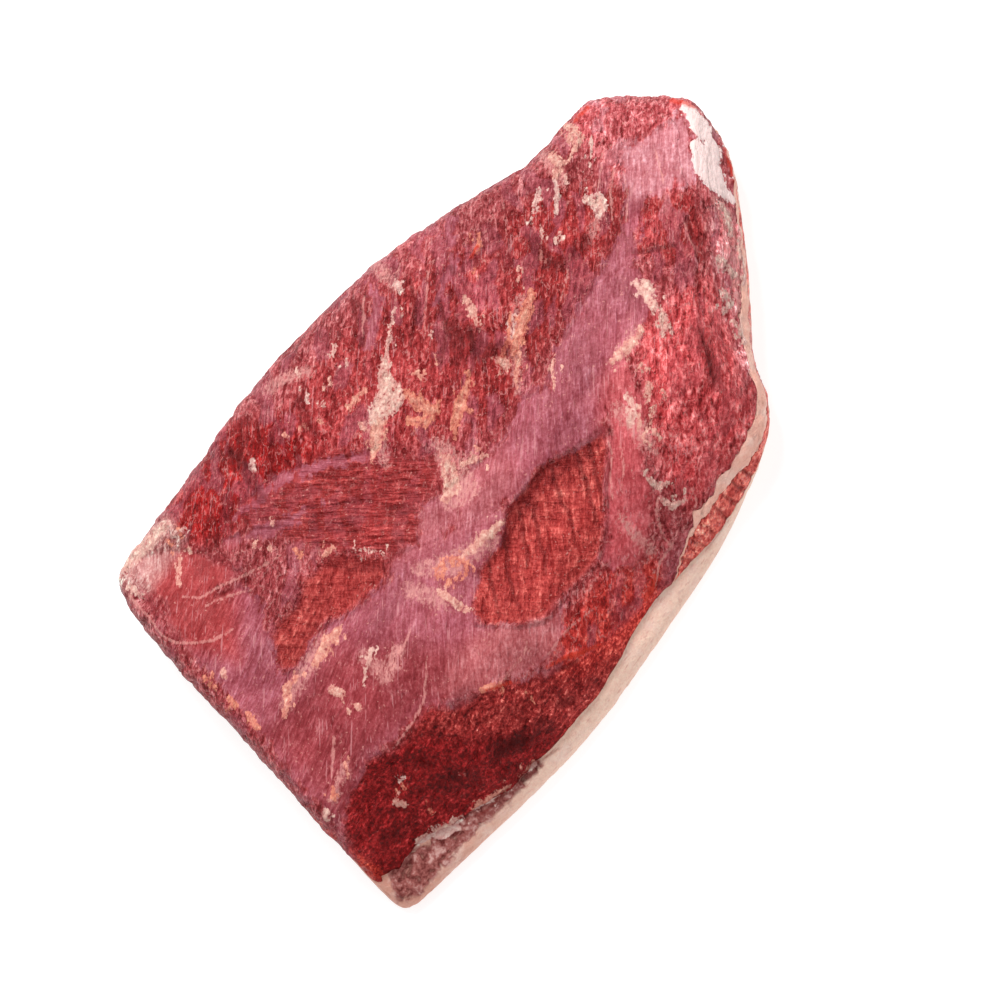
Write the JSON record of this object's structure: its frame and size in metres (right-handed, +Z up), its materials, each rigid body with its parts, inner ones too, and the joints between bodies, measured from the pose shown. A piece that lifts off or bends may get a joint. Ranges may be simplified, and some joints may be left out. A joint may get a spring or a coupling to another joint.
{
  "type": "raw beef brisket",
  "caption": "Whole trimmed slab of raw brisket lying on its fat cap, lean side up, with one straight cut end and a narrow tip.",
  "frame": {"origin": "middle of the bounding box at the underside that it lies on", "axes": "+X along the long side from the straight cut end to the narrow tip, +Y away from the long side where the fat cap shows, +Z up out of the lean side"},
  "size_m": [0.4034, 0.268, 0.0583],
  "materials": {
    "fat_cap": "moist firm fat, cream to pale pink, slightly waxy",
    "lean_flat": "moist raw muscle, red, with mauve silverskin and cream flecks of fat on top",
    "fat_seam": "moist firm fat, pinkish white",
    "lean_point": "moist raw muscle, coarse red grain"
  },
  "bodies": {
    "root": {"fat_cap": "fat_cap", "lean_flat": "lean_flat", "fat_seam": "fat_seam", "lean_point": "lean_point"}
  },
  "joints": []
}
